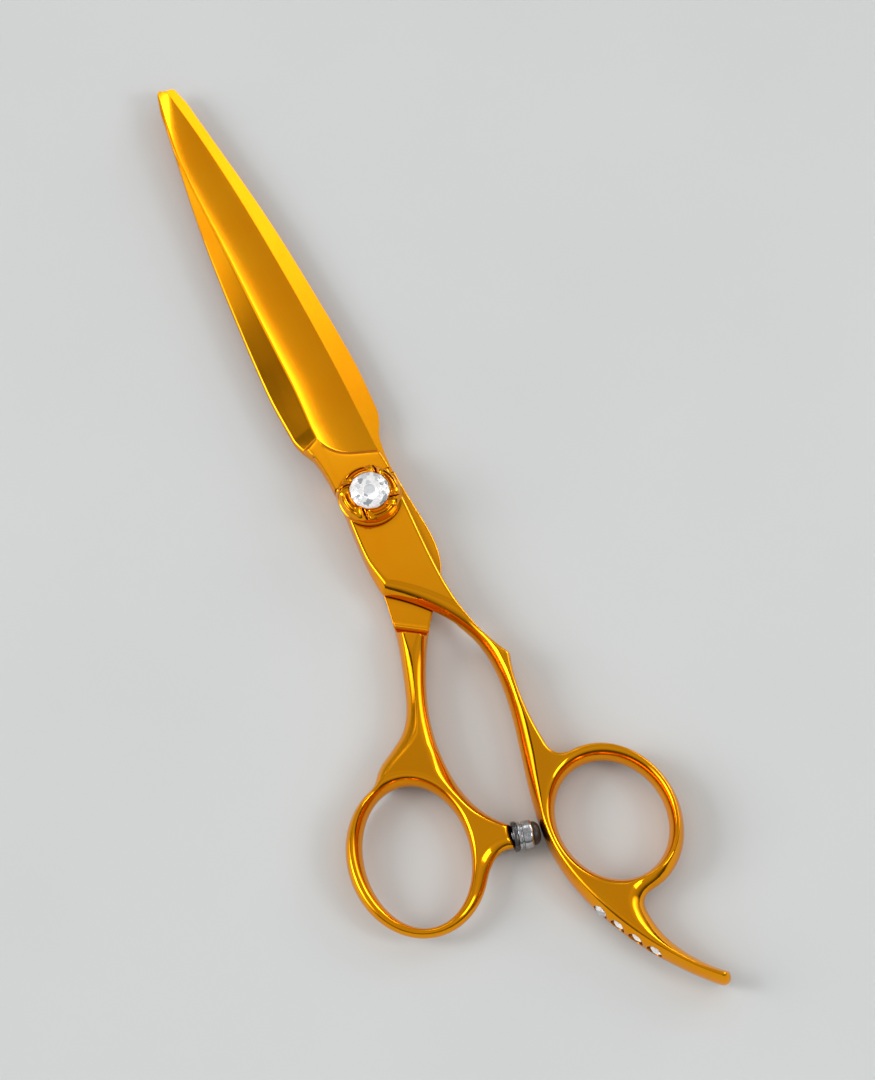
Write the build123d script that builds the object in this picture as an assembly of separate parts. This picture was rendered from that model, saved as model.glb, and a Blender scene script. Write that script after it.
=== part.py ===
from build123d import *
from math import cos, radians, sin
import os

# Hair cutting shears, seven inch class, with a jewelled tension dial.
#
# The shears lie flat and closed.  The origin is on the pivot axis at the underside of
# the pivot head, +Y runs to the blade tips, +X to the finger ring's side and +Z up
# through the tension dial.  All lengths are in millimetres.

# ---- Heights -------------------------------------------------------------------------
PLATE = 2.95                      # thickness of each blade's neck
HEAD_STANDS = 0.35                # the pivot head stands this far below the thumb blade
RIDE_GAP = 0.05                   # gap between the two flat inner faces
LOW_BOTTOM = HEAD_STANDS          # underside of the thumb blade and of both handles
LOW_TOP = LOW_BOTTOM + PLATE      # thumb blade's flat inner face
HIGH_BOTTOM = LOW_TOP + RIDE_GAP  # finger blade's flat inner face
HIGH_TOP = HIGH_BOTTOM + PLATE    # top of the finger blade and of both handles
MID_Z = (LOW_BOTTOM + HIGH_TOP) / 2

# ---- Blades --------------------------------------------------------------------------
CLOSED_LINE_X = 0.7               # closed, the blades are mirror images about this line
TIP_Y = 91.6                      # pivot to tips
NOSE_X = -0.15                    # centre of the nose's round back corner
NOSE_R = 1.0
NOSE_EDGE_X = 0.85                # cutting edge at the nose
NOSE_EDGE_R = 0.3                 # its small corner radius
PLAN_CLEAR = (12.0, 60.0)         # half width and height of the plan kept clear of the nose
EDGE_LAND = 0.12                  # flat left by honing along each cutting edge
HOLLOW = 0.035                    # depth of the hollow grind over its width
# Stations along the blade: y, cutting edge x, ridge x, spine x, ridge height and
# spine height above the flat inner face.  Beyond 75 the ridge runs along the spine.
STATIONS = (
    (4.0, 5.5, -4.0, -5.4, 2.85, 1.90),
    (17.0, 5.65, -3.8, -7.6, 2.80, 1.35),
    (33.0, 5.6, -3.3, -7.6, 2.60, 1.15),
    (50.0, 5.0, -3.2, -6.5, 2.30, 1.10),
    (66.0, 4.0, -3.3, -4.9, 1.95, 1.30),
    (75.5, 3.1, -3.2, -3.6, 1.70, 1.60),
    (85.0, 1.9, -2.0, -2.3, 1.40, 1.32),
    (94.0, 0.4, -0.6, -0.9, 1.10, 1.04),
)

# ---- Pivot ---------------------------------------------------------------------------
POST_R = 2.5                      # running journal
POST_TOP_R = 2.0                  # keyed and threaded top of the post
POST_FLATS = 3.2                  # across the flats of that top
HEAD_R = 4.5
HEAD_FLATS = 7.6                  # across the flats that key the head
HEAD_SUNK = 0.60                  # depth of the head's pocket in the thumb blade
BUSH_R = 3.4
RUN = 0.03                        # running clearance, radial and axial
POST_END = 8.15                   # top of the post, under the stone's seat
GLIDE_R = 4.7                     # low-friction washer between the blades
GLIDE_T = 0.35
WASHER_R = 4.6                    # thrust washer above the finger blade
WASHER_T = 0.30
WASHER_TOP = HIGH_TOP + RUN + WASHER_T
SPRING_T = 0.25                   # click spring's leaf
SPRING_RISE = 0.28                # its raised noses above the leaf
SPRING_R = 4.6
CLICK_R = 3.3                     # from the axis to each nose
CLICK_BALL_R = 0.88

# ---- Tension dial and its stone ------------------------------------------------------
DIAL_R = 5.75
DIAL_BOTTOM = HIGH_TOP + 0.10
DIAL_ROOM = 0.85                  # room under the dial for washer and click spring
DIAL_ROOM_R = 4.9
DIAL_RIM_TOP = DIAL_BOTTOM + 1.55
BEZEL_TOP = DIAL_BOTTOM + 2.75
BEZEL_R = 4.15
FLANGE_H = 0.45                   # thin flange at the dial's foot
FLANGE_STEP = 0.25                # the rim stands back from it by this much
DOME_MID = (0.95, 0.55)           # the domed rim's middle, out from the bezel and up
SEAT_Z = BEZEL_TOP - 0.75
STONE_R = 3.65
STONE_H = 2.15
LOBES = 4                         # slanting slots part the rim into leaf-like lobes
SLOT_W = 0.45
SLOT_FROM = 60.0                  # the first slot's place round the rim, degrees
SLOT_SLANT = 40.0                 # degrees off the radius

# ---- Handles -------------------------------------------------------------------------
FINGER_C = (13.0, -73.2)
FINGER_HOLE = (9.6, 11.7)         # semi-axes along X and Y
FINGER_RIM = (12.2, 14.7)
THUMB_C = (-20.9, -65.1)
THUMB_HOLE = (9.4, 13.5)
THUMB_RIM = (12.4, 15.3)
THUMB_LEAN = -13.0                # the thumb ring's long axis leans off +Y, degrees
THIN_FROM_Y = -50.0               # the thumb ring's faces slope in from here
THIN_TO_Y = -82.0
THUMB_THIN = 1.3                  # each face slopes in by this much at the ring's foot
SOFT_EDGE = 1.1                   # rounding of the rings' edges
SHOULDER = 1.9                    # broad rounding along the finger shank's inner side
CRISP_EDGE = 0.4
RAMP = 2.8                        # run of the ramp where a handle gains full height
FINGER_RAMP = ((3.5, -27.5), -30.0)   # a point on the ramp's foot and its plan direction
THUMB_RAMP = ((-3.4, -24.3), -33.0)
CROTCH_R = 2.5                    # rounding where the finger ring leaves its shank
RING_R = 3.0                      # rounding of the rings' other inner corners
HANDLE_FROM_Y = -40.0             # the shanks' edges are softened below here
SHANK_FROM_Y = -24.0
REACH = 150.0                     # longer than any part, for cutting right through

# ---- Bumper --------------------------------------------------------------------------
HORN_END = (-4.1, -68.8)          # centre of the horn's end face
BUMPER_AIM = -13.0                # degrees from +X
COLLAR_R = 2.7
COLLAR_T = 0.7
FERRULE_R = 2.55
FERRULE_L = 2.75
STUD_R = 1.0
STUD_L = 4.0
CUSHION_R = 2.1
CUSHION_L = 1.45                  # rubber standing out of the ferrule
CUSHION_IN = 1.0                  # rubber held inside the ferrule

# ---- Stones in the tang --------------------------------------------------------------
TANG_STONES = 4
TANG_STONE_FROM = (3.75, -88.0)   # first stone, on the tang's outer wall
TANG_STONE_PITCH = 3.95
TANG_RUN = -62.0                  # direction of the outer wall there, degrees from +X
TANG_STONE_R = 1.45
TANG_STONE_H = 1.25
TANG_SEAT = 0.9                   # depth of each seat


def polar(angle, length=1.0):
    """Plan vector of a given length at an angle in degrees from +X."""
    return Vector(length * cos(radians(angle)), length * sin(radians(angle)), 0)


def at(point, z=0.0):
    """A plan point lifted to height z."""
    return Vector(point[0], point[1], z)


def blade_section(y, edge_x, ridge_x, spine_x, ridge_h, spine_h):
    """Sword section: flat inner face, hollow facet, ridge and spine facet."""
    plane = Plane(origin=(0, y, HIGH_BOTTOM), x_dir=(1, 0, 0), z_dir=(0, -1, 0))
    edge_top = (edge_x, EDGE_LAND)
    ridge = (ridge_x, ridge_h)
    hollow_mid = (
        (edge_x + ridge_x) / 2,
        (EDGE_LAND + ridge_h) / 2 - HOLLOW * (edge_x - ridge_x),
    )
    with BuildLine(plane) as outline:
        ThreePointArc(edge_top, hollow_mid, ridge)
        Polyline(ridge, (spine_x, spine_h), (spine_x, 0), (edge_x, 0), edge_top)
    return make_face(outline.line)


def nose_corner(x, radius, side):
    """Start, middle and end of a round corner of the nose on one side of its centre."""
    low_y = TIP_Y - radius
    slant = radius * cos(radians(45))
    return (x + side * radius, low_y), (x + side * slant, low_y + slant), (x, TIP_Y)


def ground_blade():
    """The ground part of a blade, its blunt nose shaped in plan."""
    body = loft([blade_section(*station) for station in STATIONS])
    shoulder_y, edge_x, _, spine_x = STATIONS[-2][:4]
    clear_x, clear_y = PLAN_CLEAR
    back = nose_corner(NOSE_X, NOSE_R, -1)
    front = nose_corner(NOSE_EDGE_X - NOSE_EDGE_R, NOSE_EDGE_R, 1)
    with BuildLine() as plan:
        Polyline(
            front[0],
            (edge_x + 0.5, shoulder_y),
            (clear_x, clear_y),
            (clear_x, 0),
            (-clear_x, 0),
            (-clear_x, clear_y),
            (spine_x - 0.5, shoulder_y),
            back[0],
        )
        ThreePointArc(*back)
        Line(back[2], front[2])
        ThreePointArc(*front)
    return body & extrude(make_face(plan.line), HIGH_TOP + 1)


def mirror_blade(shape):
    """Turn the finger blade's shape over into the thumb blade's."""
    flipped = mirror(shape, Plane.YZ.offset(CLOSED_LINE_X))
    return mirror(flipped, Plane.XY.offset((LOW_TOP + HIGH_BOTTOM) / 2))


def ring_face(centre, semi, lean=0.0):
    """Filled oval in plan."""
    return Pos(*centre) * Rot(0, 0, lean) * Ellipse(*semi)


def heel_curve():
    """S-shaped line where the hollow grind runs out into the finger blade's neck."""
    return ((5.3, 7.4), (2.0, 8.6), (-1.2, 10.1), (-3.1, 12.3), (-3.9, 14.4), (-6.1, 13.2))


def mirrored(points):
    """Plan points mirrored about the closed blades' common line."""
    return tuple((2 * CLOSED_LINE_X - x, y) for x, y in points)


def finger_plan():
    """Neck, shank and tang of the finger blade, with the filled ring, in plan."""
    heel = heel_curve()
    with BuildLine() as outline:
        Spline(*heel[:5])
        Line(heel[4], heel[5])
        Spline(heel[5], (-5.1, 7.0), (-5.4, -3.0), (-5.5, -17.3))
        Spline(
            (-5.5, -17.3), (1.9, -24.6), (5.6, -31.5), (6.5, -40.0), (4.1, -54.0),
            (1.1, -68.0), (0.7, -75.0), (2.8, -86.0), (8.4, -97.9), (17.4, -109.2),
        )
        ThreePointArc((17.4, -109.2), (18.9, -109.0), (19.2, -107.6))
        Spline((19.2, -107.6), (14.4, -101.9), (11.6, -95.5), (11.0, -88.0), (9.0, -78.0))
        Spline((9.0, -78.0), (9.4, -66.0), (8.4, -52.0), (10.2, -37.5))
        Spline((10.2, -37.5), (6.0, -25.3), (5.4, -12.0), heel[0])
    return make_face(outline.line) + ring_face(FINGER_C, FINGER_RIM)


def thumb_plan():
    """Neck, shank and horn of the thumb blade, with the filled ring, in plan."""
    heel = mirrored(heel_curve())
    horn = Vector(*HORN_END)
    across = polar(BUMPER_AIM + 90, 2.1)
    upper = horn + across
    lower = horn - across
    with BuildLine() as outline:
        Spline(*heel[:5])
        Line(heel[4], heel[5])
        Spline(
            heel[5], (6.7, 7.0), (7.1, -4.0), (6.4, -16.5), (1.2, -24.0), (-3.5, -31.6),
            (-7.6, -41.4), (-9.1, -52.0), (-7.5, -61.0), upper,
        )
        Line(upper, lower)
        Spline(lower, (-9.0, -71.4), (-13.0, -75.5), (-18.0, -70.0))
        Spline(
            (-18.0, -70.0), (-22.0, -60.0), (-20.5, -47.9), (-14.0, -43.4), (-9.2, -34.5),
            (-6.5, -25.0), (-5.2, -17.0), (-3.9, -2.0), heel[0],
        )
    return make_face(outline.line) + ring_face(THUMB_C, THUMB_RIM, THUMB_LEAN)


def prism(face, bottom, top):
    """Plan face made solid between two heights."""
    return Pos(0, 0, bottom) * extrude(face, top - bottom)


def relief(point, angle, z_flat, z_far, run):
    """Room for the other blade's neck, ending in a ramp across a plan point.

    The ramp's foot is at height z_flat; it reaches z_far after the given run.
    """
    z_over = z_far + (z_far - z_flat)
    plane = Plane(origin=at(point), x_dir=polar(angle - 90), z_dir=polar(angle + 180))
    with BuildLine(plane) as profile:
        Polyline(
            (-REACH, z_flat), (0, z_flat), (2 * run, z_over), (-REACH, z_over), close=True
        )
    return extrude(make_face(profile.line), REACH / 2, both=True)


def corner(sketch, point):
    """The sketch's vertex nearest to a plan point."""
    return sketch.vertices().sort_by_distance(at(point))[0]


def near_plan(shape, point, reach):
    """True where a shape's middle lies within reach of a plan point."""
    middle = shape.center(CenterOf.BOUNDING_BOX)
    return (middle - at(point, middle.Z)).length < reach


def rim_edges(limb, centre):
    """The two oval edges of a finger hole."""
    return [e for e in limb.edges() if e.length > 40 and near_plan(e, centre, 0.5)]


def face_edges(limb, z, limit=1000.0):
    """Handle edges lying in the horizontal plane at z, up to a given length."""
    level = limb.edges().filter_by_position(Axis.Z, z - 0.01, z + 0.01)
    return [e for e in level if e.center().Y < HANDLE_FROM_Y and e.length < limit]


def longest(edges):
    """The edge of greatest length."""
    return max(edges, key=lambda edge: edge.length)


def finger_limb():
    """Neck, shank, ring and tang of the finger blade."""
    plan = finger_plan()
    plan = fillet(corner(plan, (8.9, -59.4)), CROTCH_R)
    plan = fillet(corner(plan, (11.0, -87.7)), RING_R)
    limb = prism(plan, LOW_BOTTOM, HIGH_TOP)
    limb -= relief(*FINGER_RAMP, HIGH_BOTTOM, LOW_BOTTOM, RAMP)
    limb -= prism(ring_face(FINGER_C, FINGER_HOLE), 0, HIGH_TOP + 1)
    limb = fillet(longest(face_edges(limb, HIGH_TOP)), SHOULDER)
    crisp = face_edges(limb, HIGH_TOP, 60) + face_edges(limb, LOW_BOTTOM, 90)
    limb = fillet(crisp, CRISP_EDGE)
    return fillet(rim_edges(limb, FINGER_C), SOFT_EDGE)


def tang_seats():
    """Planes of the tang's stone seats, facing out of its outer wall."""
    start = at(TANG_STONE_FROM, MID_Z)
    outward = polar(TANG_RUN - 90)
    return [
        Plane(origin=start + polar(TANG_RUN, TANG_STONE_PITCH * k), z_dir=outward)
        for k in range(TANG_STONES)
    ]


def disc(plane, radius, start, end):
    """Cylinder along a plane's normal between two distances from it."""
    return plane * Pos(0, 0, start) * extrude(Circle(radius), end - start)


def upright(radius, bottom, top):
    """Cylinder on the pivot axis."""
    return disc(Plane.XY, radius, bottom, top)


def flatted(radius, flats, bottom, top):
    """Cylinder on the pivot axis with two flats, square to the blades."""
    return upright(radius, bottom, top) & prism(Rectangle(2 * radius, flats), bottom, top)


def finger_blade():
    """Upper blade with its finger ring and the tang that rests the little finger."""
    blade = ground_blade() + finger_limb()
    blade -= upright(BUSH_R, HIGH_BOTTOM - 1, HIGH_TOP + 1)
    for seat in tang_seats():
        blade -= disc(seat, TANG_STONE_R + 0.02, -TANG_SEAT, 2)
    return blade


def thinning():
    """Side profile that slims the thumb ring towards its foot."""
    top = HIGH_TOP + 1
    with BuildLine(Plane.YZ) as profile:
        Polyline(
            (REACH, top), (THIN_FROM_Y, top), (THIN_FROM_Y, HIGH_TOP),
            (THIN_TO_Y, HIGH_TOP - THUMB_THIN), (THIN_TO_Y, LOW_BOTTOM + THUMB_THIN),
            (THIN_FROM_Y, LOW_BOTTOM), (THIN_FROM_Y, -1), (REACH, -1),
            close=True,
        )
    return extrude(make_face(profile.line), REACH, both=True)


def thumb_outer_edges(limb):
    """Outline edges of the thumb handle, top and bottom, without its finger hole."""
    edges = []
    for edge in limb.edges():
        middle = edge.center(CenterOf.BOUNDING_BOX)
        level = edge.bounding_box().size.Z < 1.5 and abs(middle.Z - MID_Z) > 1
        slope_line = edge.geom_type == GeomType.LINE and abs(middle.Y - THIN_FROM_Y) < 0.1
        hole = edge.length > 60 and near_plan(edge, THUMB_C, 0.5)
        if level and middle.Y < SHANK_FROM_Y and not slope_line and not hole:
            edges.append(edge)
    return edges


def thumb_limb():
    """Neck, shank, ring and horn of the thumb blade."""
    plan = fillet(corner(thumb_plan(), (-21.9, -50.1)), RING_R)
    limb = prism(plan, LOW_BOTTOM, HIGH_TOP)
    limb -= relief(*THUMB_RAMP, LOW_TOP, HIGH_TOP, RAMP)
    limb &= thinning()
    limb -= prism(ring_face(THUMB_C, THUMB_HOLE, THUMB_LEAN), 0, HIGH_TOP + 1)
    limb = fillet(thumb_outer_edges(limb), CRISP_EDGE)
    return fillet(rim_edges(limb, THUMB_C), SOFT_EDGE)


def bumper_plane():
    """Plane on the horn's end face, facing along the bumper."""
    return Plane(origin=at(HORN_END, MID_Z), z_dir=polar(BUMPER_AIM))


def thumb_blade():
    """Lower blade with its thumb ring and the horn that carries the bumper."""
    blade = mirror_blade(ground_blade()) + thumb_limb()
    blade -= upright(POST_R, LOW_BOTTOM - 1, LOW_TOP + 1)
    blade -= flatted(HEAD_R, HEAD_FLATS, LOW_BOTTOM - 1, LOW_BOTTOM + HEAD_SUNK)
    blade -= upright(GLIDE_R, LOW_TOP + RUN - GLIDE_T, LOW_TOP + 1)
    return blade - disc(bumper_plane(), STUD_R, -STUD_L, 1)


def washer(outer_r, inner_r, bottom, top):
    """Flat ring on the pivot axis."""
    return upright(outer_r, bottom, top) - upright(inner_r, bottom - 1, top + 1)


def pivot_post():
    """Headed post: keyed in the thumb blade, running in the finger blade's bush."""
    post = flatted(HEAD_R, HEAD_FLATS, 0, LOW_BOTTOM + HEAD_SUNK)
    post = chamfer(post.edges().group_by(Axis.Z)[0], 0.2)
    post += upright(POST_R, LOW_BOTTOM, WASHER_TOP)
    return post + flatted(POST_TOP_R, POST_FLATS, WASHER_TOP, POST_END)


def click_spring():
    """Leaf disc keyed to the post, with two raised noses that click in the dial."""
    leaf = upright(SPRING_R, WASHER_TOP, WASHER_TOP + SPRING_T)
    leaf -= flatted(POST_TOP_R, POST_FLATS, WASHER_TOP - 1, WASHER_TOP + 1)
    for side in (-1, 1):
        ball_z = WASHER_TOP + SPRING_T + SPRING_RISE - CLICK_BALL_R
        ball = Pos(side * CLICK_R, 0, ball_z) * Sphere(CLICK_BALL_R)
        leaf += ball & washer(SPRING_R, POST_TOP_R + 0.2, WASHER_TOP, POST_END)
    return leaf


def tension_dial():
    """Knob on the post's thread, with a domed rim cut into leaf-like lobes."""
    rim_r = DIAL_R - FLANGE_STEP
    with BuildLine(Plane.XZ) as profile:
        Polyline(
            (BEZEL_R, BEZEL_TOP), (STONE_R, BEZEL_TOP), (STONE_R, SEAT_Z), (0, SEAT_Z),
            (0, DIAL_BOTTOM + DIAL_ROOM), (DIAL_ROOM_R, DIAL_BOTTOM + DIAL_ROOM),
            (DIAL_ROOM_R, DIAL_BOTTOM), (DIAL_R, DIAL_BOTTOM), (DIAL_R, DIAL_BOTTOM + FLANGE_H),
            (rim_r, DIAL_BOTTOM + FLANGE_H + 0.15), (rim_r, DIAL_RIM_TOP - 0.3),
        )
        ThreePointArc(
            (rim_r, DIAL_RIM_TOP - 0.3),
            (BEZEL_R + DOME_MID[0], DIAL_RIM_TOP + DOME_MID[1]),
            (BEZEL_R, BEZEL_TOP),
        )
    dial = revolve(make_face(profile.line), Axis.Z)
    dial -= upright(POST_TOP_R + RUN, DIAL_BOTTOM, POST_END + RUN)
    slot = prism(Rectangle(4.0, SLOT_W), DIAL_RIM_TOP - 0.55, BEZEL_TOP + 1)
    for k in range(LOBES):
        place = Rot(0, 0, 360 / LOBES * k + SLOT_FROM) * Pos(DIAL_R, 0, 0) * Rot(0, 0, SLOT_SLANT)
        dial -= place * slot
    return dial


def cut_stone(plane, radius, height, sides):
    """Faceted stone: a short base, a girdle and a crown up to a flat table."""
    levels = ((0.86, 0.0), (1.0, 0.32), (1.0, 0.38), (0.56, 1.0))
    rings = [
        plane * Pos(0, 0, height * up) * RegularPolygon(radius * wide, sides)
        for wide, up in levels
    ]
    stone = loft(rings[:2], ruled=True) + loft(rings[1:3], ruled=True)
    return stone + loft(rings[2:], ruled=True)


def dial_crystal():
    """Round stone gripped by the dial's bezel."""
    return cut_stone(Plane.XY.offset(SEAT_Z), STONE_R - 0.02, STONE_H, 16)


def tang_crystal(seat):
    """Small stone set in the tang's outer wall."""
    base = Plane(origin=seat.origin - seat.z_dir * TANG_SEAT, z_dir=seat.z_dir)
    return cut_stone(base, TANG_STONE_R, TANG_STONE_H, 8)


def bumper_collar():
    """Thin washer between the horn and the ferrule."""
    plane = bumper_plane()
    return disc(plane, COLLAR_R, 0, COLLAR_T) - disc(plane, STUD_R, -1, 2)


def bumper_ferrule():
    """Screwed stud with a grooved metal cup that holds the rubber."""
    plane = bumper_plane()
    end = COLLAR_T + FERRULE_L
    body = disc(plane, FERRULE_R, COLLAR_T, end)
    groove = disc(plane, FERRULE_R + 1, COLLAR_T + 0.75, COLLAR_T + 0.95)
    body -= groove - disc(plane, FERRULE_R - 0.3, 0, end)
    body -= disc(plane, CUSHION_R - 0.4, end - CUSHION_IN, end + 1)
    return body + disc(plane, STUD_R, -STUD_L, COLLAR_T)


def bumper_cushion():
    """Rubber nose that meets the finger shank when the shears close."""
    plane = bumper_plane()
    start = COLLAR_T + FERRULE_L
    nose = disc(plane, CUSHION_R, start, start + CUSHION_L)
    nose = fillet(nose.edges().filter_by(GeomType.CIRCLE).sort_by(Axis.X)[-1], 0.9)
    return nose + disc(plane, CUSHION_R - 0.4, start - CUSHION_IN, start)


def parts():
    """Every separate piece of the shears, by node name."""
    pieces = {
        "finger_blade": finger_blade(),
        "thumb_blade": thumb_blade(),
        "pivot_post": pivot_post(),
        "pivot_bush": washer(BUSH_R, POST_R + RUN, HIGH_BOTTOM, HIGH_TOP),
        "glide_washer": washer(GLIDE_R, POST_R, LOW_TOP + RUN - GLIDE_T, LOW_TOP + RUN),
        "thrust_washer": washer(WASHER_R, POST_R, WASHER_TOP - WASHER_T, WASHER_TOP),
        "click_spring": click_spring(),
        "tension_dial": tension_dial(),
        "dial_crystal": dial_crystal(),
        "bumper_collar": bumper_collar(),
        "bumper_ferrule": bumper_ferrule(),
        "bumper_cushion": bumper_cushion(),
    }
    for k, seat in enumerate(tang_seats(), start=1):
        pieces[f"tang_crystal_{k}"] = tang_crystal(seat)
    return pieces


if __name__ == "__main__":
    os.makedirs("parts", exist_ok=True)
    for name, piece in parts().items():
        export_step(piece, f"parts/{name}.step")
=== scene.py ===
"""Looks of the hair cutting shears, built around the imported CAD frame.

Shapes are worked out in millimetres in the frame's own axes and scaled to metres when
each mesh is made.
"""
import math
import bpy
import numpy as np
from mathutils import Matrix, Vector


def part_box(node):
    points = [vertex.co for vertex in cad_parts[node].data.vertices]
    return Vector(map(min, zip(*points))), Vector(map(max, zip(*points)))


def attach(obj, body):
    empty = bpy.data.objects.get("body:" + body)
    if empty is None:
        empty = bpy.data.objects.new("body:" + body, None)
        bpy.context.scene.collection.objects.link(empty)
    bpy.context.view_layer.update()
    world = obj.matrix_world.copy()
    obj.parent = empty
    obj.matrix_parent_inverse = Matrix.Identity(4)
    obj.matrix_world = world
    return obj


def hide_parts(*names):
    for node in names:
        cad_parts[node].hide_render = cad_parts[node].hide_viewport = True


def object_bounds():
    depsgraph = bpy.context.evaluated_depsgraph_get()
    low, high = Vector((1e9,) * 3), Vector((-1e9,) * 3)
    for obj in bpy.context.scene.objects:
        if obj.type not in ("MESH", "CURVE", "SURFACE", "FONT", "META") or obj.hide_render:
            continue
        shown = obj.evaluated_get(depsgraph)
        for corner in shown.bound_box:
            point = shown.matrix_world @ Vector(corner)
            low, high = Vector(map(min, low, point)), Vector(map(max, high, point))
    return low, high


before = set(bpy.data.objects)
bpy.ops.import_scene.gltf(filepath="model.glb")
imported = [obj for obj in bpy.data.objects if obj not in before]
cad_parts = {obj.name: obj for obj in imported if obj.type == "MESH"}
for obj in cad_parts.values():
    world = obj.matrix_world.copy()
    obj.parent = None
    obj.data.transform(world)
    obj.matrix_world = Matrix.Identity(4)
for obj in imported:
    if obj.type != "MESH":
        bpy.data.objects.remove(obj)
CAD_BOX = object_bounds()
MM = 0.001


# ---- Numbers taken from the frame ----------------------------------------------------
def box_mm(node):
    """Lowest and highest corner of a CAD node as arrays, in millimetres."""
    low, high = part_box(node)
    return np.array(low) / MM, np.array(high) / MM


FINGER_BOX = box_mm("finger_blade")
THUMB_BOX = box_mm("thumb_blade")
BUSH_BOX = box_mm("pivot_bush")
COLLAR_BOX = box_mm("bumper_collar")
DIAL_BOX = box_mm("tension_dial")
STONE_BOX = box_mm("dial_crystal")

LOW_Z = THUMB_BOX[0][2]                      # underside of both handles
TOP_Z = FINGER_BOX[1][2]                     # top of both handles
MID_Z = (LOW_Z + TOP_Z) / 2
HALF_H = (TOP_Z - LOW_Z) / 2
FINGER_RIDE_Z = BUSH_BOX[0][2]               # the finger blade's flat inner face
RIDE_GAP = 2 * (FINGER_RIDE_Z - MID_Z)
THUMB_RIDE_Z = FINGER_RIDE_Z - RIDE_GAP      # the thumb blade's flat inner face
TIP_Y = FINGER_BOX[1][1]
BLADE_MID_X = (FINGER_BOX[0][0] + THUMB_BOX[1][0]) / 2
BLADE_FROM_Y = 4.0                           # ground blade and handle meet under the dial

FINE = 0.2            # cell of the handle meshes


def add_object(name, data):
    """A new object in the scene."""
    thing = bpy.data.objects.new(name, data)
    bpy.context.scene.collection.objects.link(thing)
    return thing


# ---- Cutting the CAD meshes ----------------------------------------------------------
def node_points(node):
    """A CAD node's vertices in millimetres."""
    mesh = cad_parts[node].data
    points = np.empty(len(mesh.vertices) * 3)
    mesh.vertices.foreach_get("co", points)
    return points.reshape(-1, 3) / MM


def cut(node, axis, level):
    """Segments in which the plane at a level of an axis cuts a CAD node."""
    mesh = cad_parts[node].data
    mesh.calc_loop_triangles()
    corners = np.empty(len(mesh.loop_triangles) * 3, int)
    mesh.loop_triangles.foreach_get("vertices", corners)
    tri = node_points(node)[corners.reshape(-1, 3)]
    side = tri[:, :, axis] - level
    side[side == 0] = 1e-9
    following = np.roll(side, -1, 1)
    crossed = side * following < 0
    share = side / np.where(crossed, side - following, 1)
    ends = tri + share[:, :, None] * (np.roll(tri, -1, 1) - tri)
    both = crossed.sum(1) == 2
    return ends[both][crossed[both]].reshape(-1, 2, 3)


def loops(node, z):
    """Closed outlines of a CAD node at height z, counter-clockwise, longest first."""
    beside = {}
    for a, b in cut(node, 2, z)[:, :, :2].round(3).tolist():
        a, b = tuple(a), tuple(b)
        if a != b:
            beside.setdefault(a, []).append(b)
            beside.setdefault(b, []).append(a)
    found = []
    while beside:
        here = next(iter(beside))
        chain = []
        while here is not None:
            chain.append(here)
            here = next((p for p in beside.pop(here) if p in beside), None)
        if len(chain) > 8:
            loop = np.array(chain)
            x, y = loop.T
            area = (x * np.roll(y, -1) - y * np.roll(x, -1)).sum()
            found.append(loop if area > 0 else loop[::-1])
    return sorted(found, key=lambda p: -np.ptp(p, axis=0).sum())


def turning(points):
    """Angle turned at each point of a closed loop, in degrees."""
    ahead = np.roll(points, -1, 0) - points
    heading = np.unwrap(np.arctan2(ahead[:, 1], ahead[:, 0]))
    turn = heading - np.roll(heading, 1)
    return np.degrees(np.abs((turn + math.pi) % (2 * math.pi) - math.pi))


def tidy_loop(points):
    """The loop without doubled points and without points along a straight edge."""
    for _ in range(3):
        gap = np.linalg.norm(points - np.roll(points, 1, 0), axis=1)
        points = points[gap > 0.01]
        points = points[turning(points) > 0.08]
    return points


def smooth_through(points, step=0.2):
    """Open curve through the points, smooth except at sharp corners, evenly sampled."""
    ahead = np.diff(points, axis=0)
    heading = np.unwrap(np.arctan2(ahead[:, 1], ahead[:, 0]))
    sharp = np.flatnonzero(np.degrees(np.abs(np.diff(heading))) > 20) + 1
    stops = [0, *sharp.tolist(), len(points) - 1]
    sampled = []
    for first, last in zip(stops, stops[1:]):
        run = points[first:last + 1]
        way = np.r_[0, np.cumsum(np.linalg.norm(np.diff(run, axis=0), axis=1))]
        at = np.linspace(0, way[-1], max(int(way[-1] / step), 1) + 1)
        sampled.append(relax(spline(way, run, at))[:-1])
    sampled.append(points[-1:])
    return np.vstack(sampled)


def relax(run, rounds=24):
    """The open run with its small unevenness smoothed out, its two ends kept."""
    run = run.copy()
    for _ in range(rounds):
        run[1:-1] = 0.25 * run[:-2] + 0.5 * run[1:-1] + 0.25 * run[2:]
    return run


def spline(knots, values, at):
    """Catmull-Rom curve through values at the knots, straight beyond the ends."""
    knots = np.asarray(knots, float)
    values = np.asarray(values, float)
    at = np.asarray(at, float)
    if len(knots) < 3:
        share = ((at - knots[0]) / (knots[-1] - knots[0])).reshape(-1, *[1] * (values.ndim - 1))
        return values[0] + share * (values[-1] - values[0])
    slope = np.gradient(values, knots, axis=0)
    i = np.clip(np.searchsorted(knots, at, side="right") - 1, 0, len(knots) - 2)
    gap = knots[i + 1] - knots[i]
    t = (at - knots[i]) / gap
    inside = np.clip(t, 0, 1)
    past = (t - inside) * gap
    shape = (-1,) + (1,) * (values.ndim - 1)
    u, gap, past = inside.reshape(shape), gap.reshape(shape), past.reshape(shape)
    curve = (
        (2 * u**3 - 3 * u**2 + 1) * values[i]
        + (u**3 - 2 * u**2 + u) * gap * slope[i]
        + (3 * u**2 - 2 * u**3) * values[i + 1]
        + (u**3 - u**2) * gap * slope[i + 1]
    )
    return curve + past * np.where((t > 0).reshape(shape), slope[i + 1], slope[i])


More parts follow.
